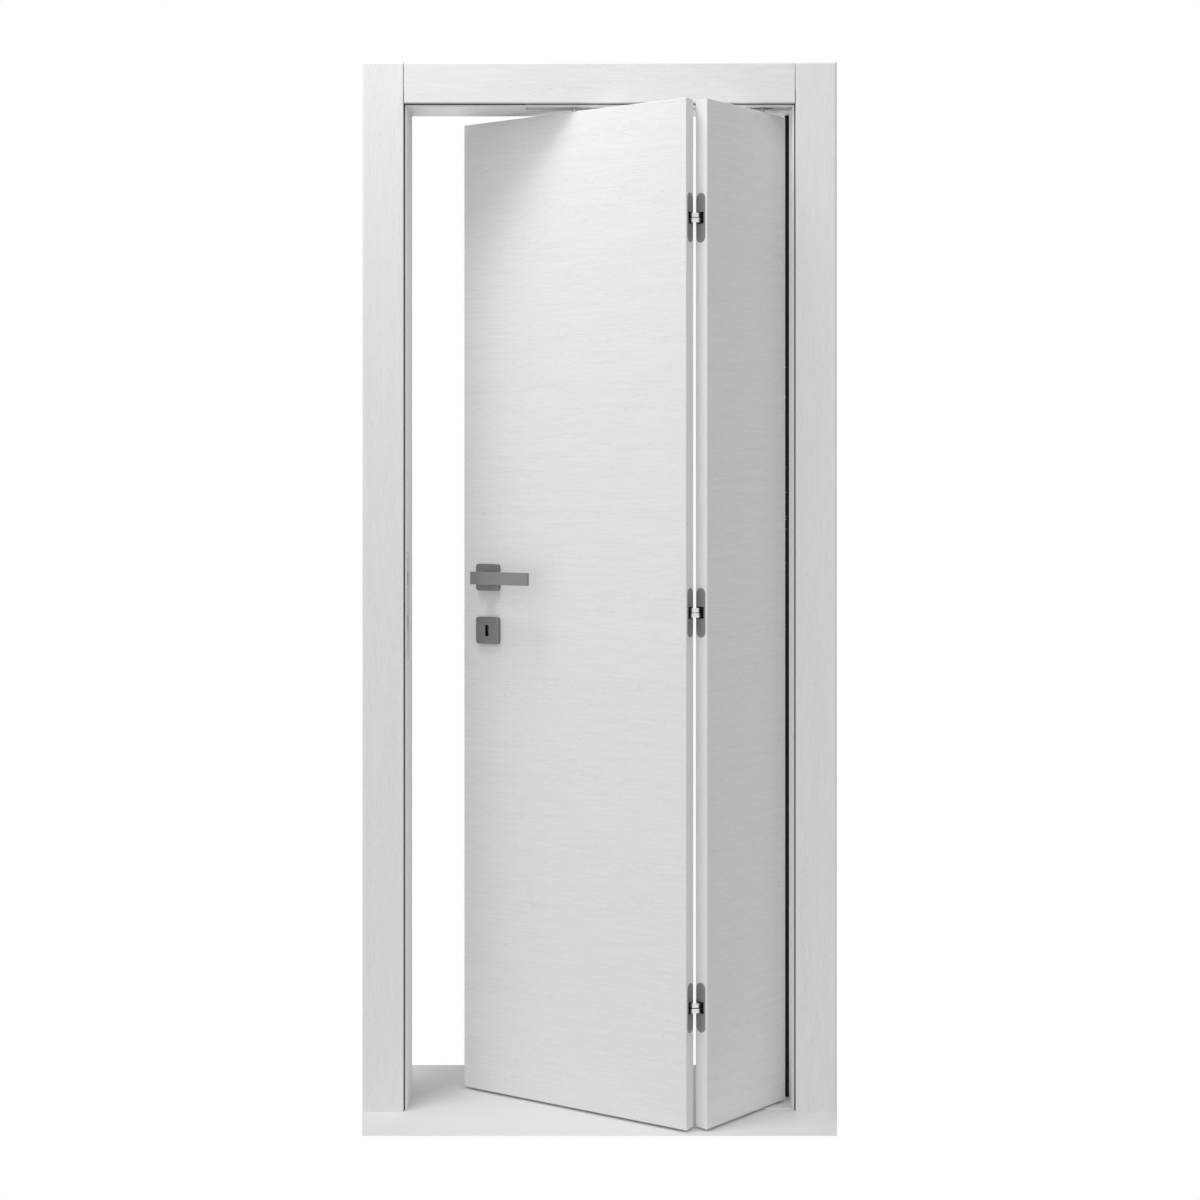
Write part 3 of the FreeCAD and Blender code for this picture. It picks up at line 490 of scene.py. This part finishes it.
def paper_core_material():
    """Brown honeycomb paper, seen only where a leaf is cut open."""
    material, tree, shader = new_material("honeycomb_paper")
    cells = set_inputs(add_node(tree, "ShaderNodeTexVoronoi", feature="DISTANCE_TO_EDGE"), Scale=60.0)
    link(tree, oriented(tree, ALONG_X), cells.inputs["Vector"])
    hollow = range_node(tree, cells.outputs["Distance"], *PAPER_CELL_EDGE)
    link(tree, mix_node(tree, hollow, PAPER_WALL_COLOR, PAPER_CELL_COLOR), shader.inputs["Base Color"])
    bump_from(tree, shader, hollow, 1.0 * MILLIMETRE)
    set_inputs(shader, Roughness=0.9)
    return material


def darken(material, mask, color):
    """Lay a dark colour over a material where the mask is one."""
    tree = material.node_tree
    target = tree.nodes["Principled BSDF"].inputs["Base Color"]
    link(tree, mix_node(tree, mask, target.links[0].from_socket, color), target)
    return material


def paint_joint_shade(material):
    """Paint shade into the deep joint beside the casings."""
    tree = material.node_tree
    joint = group_node(tree, "painted_joint_shade")
    link(tree, oriented(tree, ALONG_X), joint.inputs["Vector"])
    return darken(material, joint.outputs["Mask"], PAINTED_JOINT_SHADE)


def paint_keyhole_shade(material):
    """Paint the walls of the keyhole black behind the plates' faces: partly the dark lining of a hollow
    escutcheon over the dark lock, partly painted shade of the deep hole.
    """
    tree = material.node_tree
    corners = [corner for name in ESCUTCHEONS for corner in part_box(name)]
    middle = sum(corners, Vector()) / len(corners)
    turned_middle = Matrix.Rotation(math.radians(WIDE_LEAF_TURN), 3, "Z") @ middle
    offset = vector_node(tree, "SUBTRACT", oriented(tree, ALONG_WIDE_LEAF), turned_middle)
    mask = 1.0
    for distance, limit in zip(parts_of(tree, vector_node(tree, "ABSOLUTE", offset)), KEYHOLE_REACH):
        mask = math_node(tree, "MULTIPLY", math_node(tree, "LESS_THAN", distance, limit), mask)
    return darken(material, mask, KEYHOLE_SHADE_BLACK)


def paint_shade_between_links(material):
    """Paint a line of shade between the two stacked links of each hinge."""
    tree = material.node_tree
    height = parts_of(tree, oriented(tree, ALONG_X))[2]
    nearest = 1.0
    for place in HINGE_PLACES:
        low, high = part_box(place + "_hinge_links")
        offset = math_node(tree, "SUBTRACT", height, (low.z + high.z) / 2)
        nearest = math_node(tree, "MINIMUM", math_node(tree, "ABSOLUTE", offset), nearest)
    return darken(material, math_node(tree, "LESS_THAN", nearest, LINK_JOINT), LINK_JOINT_SHADE)


def dress(nodes, material):
    for name in nodes:
        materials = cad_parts[name].data.materials
        materials.clear()
        materials.append(material)


# Meshes


def add_object(name, data):
    """A new object in the scene with the given mesh, lamp or camera."""
    item = bpy.data.objects.new(name, data)
    bpy.context.scene.collection.objects.link(item)
    return item


def mesh_object(name, mesh):
    data = bpy.data.meshes.new(name)
    bmesh.ops.recalc_face_normals(mesh, faces=mesh.faces)
    mesh.to_mesh(data)
    mesh.free()
    return add_object(name, data)


def add_shell(mesh, bottom, top):
    """Close two rings of four corners into one solid."""
    mesh.faces.new(bottom[::-1])
    mesh.faces.new(top)
    for index in range(4):
        after = (index + 1) % 4
        mesh.faces.new((bottom[index], bottom[after], top[after], top[index]))


def add_block(mesh, low, high):
    corners = [mesh.verts.new((x, y, z)) for z in (low.z, high.z)
               for x, y in ((low.x, low.y), (high.x, low.y), (high.x, high.y), (low.x, high.y))]
    add_shell(mesh, corners[:4], corners[4:])


def add_tuft(mesh, seal, root, low, high, half_depth, chance):
    """A tapered bundle of bristles that leans a little, kept inside the strip's own space."""
    reach = (root.x - low.x) * chance.uniform(*TUFT_REACH)
    lean = chance.uniform(-TUFT_LEAN, TUFT_LEAN)
    rings = []
    for distance, share in ((0.0, 1.0), (reach, TUFT_TAPER)):
        ring = []
        for side_y, side_z in ((-1, -1), (1, -1), (1, 1), (-1, 1)):
            y = root.y + side_y * half_depth * share
            z = root.z + side_z * seal.tuft_width / 2 * share + lean * distance / reach
            ring.append(mesh.verts.new((root.x - distance, y, min(max(z, low.z), high.z))))
        rings.append(ring)
    add_shell(mesh, rings[0], rings[1])


# The door's finishes and its brush


class DOOR_OT_laminate(bpy.types.Operator):
    """Cover the leaves, jambs and casings with white open-pore laminate"""
    bl_idname = "door.laminate"
    bl_label = "Laminate"

    def execute(self, context):
        finish = context.scene.door_finish

        def laminate(name, rotation):
            return grained_material(
                name, rotation, finish.laminate_color, finish.pore_color, finish.pore_length,
                finish.pore_width, finish.pore_strength, bump_depth=0.25 * MILLIMETRE)
        # The frame's laminate carries painted shade in the joint beside the casings
        dress(FRAME_UPRIGHTS, paint_joint_shade(laminate("laminate_upright", ALONG_Z)))
        dress(FRAME_HEADS, paint_joint_shade(laminate("laminate_level", ALONG_X)))
        dress(WIDE_SKINS, laminate("laminate_wide_leaf", ALONG_WIDE_LEAF))
        dress(NARROW_SKINS, laminate("laminate_narrow_leaf", ALONG_NARROW_LEAF))
        dress(EDGE_BANDS, laminate("laminate_edge", ALONG_Z))
        return {"FINISHED"}


class DOOR_OT_inside(bpy.types.Operator):
    """Finish the timber and the paper core inside the leaves"""
    bl_idname = "door.inside"
    bl_label = "Leaf insides"

    def execute(self, context):
        timber = grained_material(
            "planed_softwood", ALONG_Z, TIMBER_COLOR, TIMBER_PORE_COLOR, length=30 * MILLIMETRE,
            width=2 * MILLIMETRE, strength=0.8, bump_depth=0.2 * MILLIMETRE)
        dress(TIMBER_FRAMES, timber)
        dress(PAPER_CORES, paper_core_material())
        return {"FINISHED"}


class DOOR_OT_handle(bpy.types.Operator):
    """Finish the handle, the lock, the strike, the track and the bottom plate"""
    bl_idname = "door.handle"
    bl_label = "Handle, lock and track"

    def execute(self, context):
        finish = context.scene.door_finish

        def satin(name):
            return metal_material(name, ALONG_WIDE_LEAF, finish.handle_color, line=0.25, polish=0.38)
        dress(HANDLE_NODES, satin("satin_handle_metal"))
        dress(ESCUTCHEONS, paint_keyhole_shade(satin("satin_escutcheon")))
        dress(STEEL_NODES, metal_material(
            "plated_steel", ALONG_Z, finish.steel_color, line=0.15, polish=0.3))
        dress(LACQUERED_NODES, plastic_material(
            "white_lacquer", LACQUER_WHITE, cell=2 * MILLIMETRE, roughness=0.5))
        dress(("lock_case",), plastic_material(
            "lock_case_enamel", LOCK_CASE_BLACK, cell=2 * MILLIMETRE, roughness=0.7))
        dress(NYLON_NODES, plastic_material(
            "grey_nylon", NYLON_GREY, cell=1.5 * MILLIMETRE, roughness=0.45))
        return {"FINISHED"}


class DOOR_OT_hinges(bpy.types.Operator):
    """Finish the hinge covers, bodies and links"""
    bl_idname = "door.hinges"
    bl_label = "Hinges"

    def execute(self, context):
        finish = context.scene.door_finish
        bodies = [f"{place}_hinge_{side}_half" for place in HINGE_PLACES for side in ("narrow", "wide")]
        dress(HINGE_COVERS, metal_material(
            "hinge_cover_grey", ALONG_Z, finish.hinge_plate_color, line=0.2, polish=0.42, metallic=0.5))
        # The near-black bodies are partly painted shade of the hinge pockets
        dress(bodies, plastic_material(
            "hinge_body_black_and_pocket_shade", HINGE_BODY_SHADE_BLACK, cell=2 * MILLIMETRE, roughness=0.8))
        links = metal_material(
            "hinge_link_silver", ALONG_X, finish.hinge_link_color, line=0.15, polish=0.3)
        dress([place + "_hinge_links" for place in HINGE_PLACES], paint_shade_between_links(links))
        return {"FINISHED"}


class DOOR_OT_brush_seal(bpy.types.Operator):
    """Model the brush strip on the pivot jamb, tuft by tuft; its black pile also stands as painted
    shade for the gap beside the narrow leaf
    """
    bl_idname = "door.brush_seal"
    bl_label = "Brush seal"

    def execute(self, context):
        seal = context.scene.door_seal
        low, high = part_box("pivot_jamb_brush_seal")
        chance = random.Random(seal.seed)
        mesh = bmesh.new()
        carrier_face = high.x - seal.carrier_depth
        add_block(mesh, Vector((carrier_face, low.y, low.z)), high)
        middle = (low.y + high.y) / 2
        spread = (high.y - low.y) / 2 - TUFT_MARGIN
        for index in range(int((high.z - low.z) / seal.tuft_pitch)):
            height = low.z + seal.tuft_pitch * (index + 0.5)
            for side in (-1, 1):
                root = Vector((carrier_face, middle + side * spread / 2, height))
                add_tuft(mesh, seal, root, low, high, spread / 2, chance)
        piece = mesh_object("brush_tufts", mesh)
        # The black pile is partly a real seal, partly painted shade in the gap
        piece.data.materials.append(plastic_material(
            "black_brush_pile_and_gap_shade", BRUSH_AND_GAP_SHADE_BLACK, cell=0.8 * MILLIMETRE, roughness=0.8))
        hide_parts("pivot_jamb_brush_seal")
        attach(piece, "frame")
        return {"FINISHED"}


# Studio


def add_floor(studio):
    """A pale floor under the door; in front it narrows along the camera's sight lines."""
    low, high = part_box("left_front_casing")[0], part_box("right_front_casing")[1]
    mesh = bmesh.new()
    closer = (-studio.floor_front - CAMERA_PLACE[1]) / (low.y - CAMERA_PLACE[1])
    front = [CAMERA_PLACE[0] + (x - CAMERA_PLACE[0]) * closer for x in (low.x, high.x)]
    corners = ((front[0], -studio.floor_front), (front[1], -studio.floor_front), (high.x, low.y),
               (high.x, studio.floor_rear), (low.x, studio.floor_rear), (low.x, low.y))
    mesh.faces.new([mesh.verts.new((x, y, 0.0)) for x, y in corners])
    floor = mesh_object("studio_floor", mesh)
    material, tree, shader = new_material("pale_floor")
    speckle = noise_node(tree, oriented(tree, ALONG_X), detail=2.0, roughness=0.6, scale=900.0)
    link(tree, mix_node(tree, speckle, *FLOOR_COLORS), shader.inputs["Base Color"])
    set_inputs(shader, Roughness=0.8)
    floor.data.materials.append(material)


def add_sky(context, studio):
    """Soft light from the front and from one place behind, and white to the camera and in gloss."""
    world = bpy.data.worlds.new("studio_sky")
    world.use_nodes = True
    context.scene.world = world
    tree = world.node_tree
    background = set_inputs(tree.nodes["Background"], Color=(1, 1, 1, 1))
    direction = add_node(tree, "ShaderNodeTexCoord").outputs["Generated"]
    depth = parts_of(tree, direction)[1]
    lean = vector_node(tree, "DOT_PRODUCT", direction, studio.front_lean)
    front = math_node(tree, "ADD", lean, studio.front_sky)
    front = math_node(tree, "MULTIPLY", front, range_node(tree, depth, *FRONT_FADE))
    behind = vector_node(tree, "DOT_PRODUCT", direction, studio.rear_axis)
    rear = range_node(tree, behind, REAR_EDGE, (0.0, studio.rear_sky))
    path = add_node(tree, "ShaderNodeLightPath").outputs
    seen = math_node(tree, "MAXIMUM", path["Is Camera Ray"], path["Is Transmission Ray"])
    seen = math_node(tree, "MAXIMUM", seen, path["Is Glossy Ray"])
    unseen = math_node(tree, "SUBTRACT", 1.0, seen)
    glow = math_node(tree, "MULTIPLY", math_node(tree, "ADD", front, rear), unseen)
    link(tree, math_node(tree, "ADD", glow, seen), background.inputs["Strength"])


def add_key_lamp(studio):
    data = bpy.data.lights.new("key_lamp", "AREA")
    data.size = studio.key_size
    data.energy = studio.key_power
    data.spread = studio.key_spread
    lamp = add_object("key_lamp", data)
    lamp.location = studio.key_place
    lamp.rotation_euler = (Vector(KEY_LAMP_AIM) - lamp.location).to_track_quat("-Z", "Y").to_euler()


def add_camera(context):
    data = bpy.data.cameras.new("photo_camera")
    data.sensor_width = SENSOR_WIDTH
    data.lens = CAMERA_LENS
    data.shift_x = (PHOTO_SIZE / 2 - PRINCIPAL_POINT[0]) / PHOTO_SIZE
    data.shift_y = (PRINCIPAL_POINT[1] - PHOTO_SIZE / 2) / PHOTO_SIZE
    camera = add_object("photo_camera", data)
    camera.location = CAMERA_PLACE
    camera.rotation_euler = (math.radians(90), 0.0, 0.0)
    context.scene.camera = camera


class DOOR_OT_stage(bpy.types.Operator):
    """Set the floor, the studio light and the camera"""
    bl_idname = "door.stage"
    bl_label = "Studio"

    def execute(self, context):
        studio = context.scene.door_studio
        add_floor(studio)
        add_sky(context, studio)
        add_key_lamp(studio)
        add_camera(context)
        context.scene.view_settings.view_transform = "Standard"
        return {"FINISHED"}


# The add-on's own parts

OPERATORS = (DOOR_OT_laminate, DOOR_OT_inside, DOOR_OT_handle, DOOR_OT_hinges, DOOR_OT_brush_seal,
             DOOR_OT_stage)
GROUPS = (DoorFinish, DoorSeal, DoorStudio)


class DOOR_PT_panel(bpy.types.Panel):
    bl_label = "Folding door set"
    bl_idname = "DOOR_PT_panel"
    bl_space_type = "VIEW_3D"
    bl_region_type = "UI"
    bl_category = "Door"

    def draw(self, context):
        for group in (context.scene.door_finish, context.scene.door_seal, context.scene.door_studio):
            column = self.layout.column(align=True)
            for name in group.__annotations__:
                column.prop(group, name)
        for operator in OPERATORS:
            self.layout.operator(operator.bl_idname)


def register():
    for one in GROUPS + OPERATORS + (DOOR_PT_panel,):
        bpy.utils.register_class(one)
    bpy.types.Scene.door_finish = PointerProperty(type=DoorFinish)
    bpy.types.Scene.door_seal = PointerProperty(type=DoorSeal)
    bpy.types.Scene.door_studio = PointerProperty(type=DoorStudio)


def unregister():
    del bpy.types.Scene.door_studio
    del bpy.types.Scene.door_seal
    del bpy.types.Scene.door_finish
    for one in reversed(GROUPS + OPERATORS + (DOOR_PT_panel,)):
        bpy.utils.unregister_class(one)


def main():
    register()
    for name in ("laminate", "inside", "handle", "hinges", "brush_seal", "stage"):
        getattr(bpy.ops.door, name)()


if __name__ == "__main__":
    main()
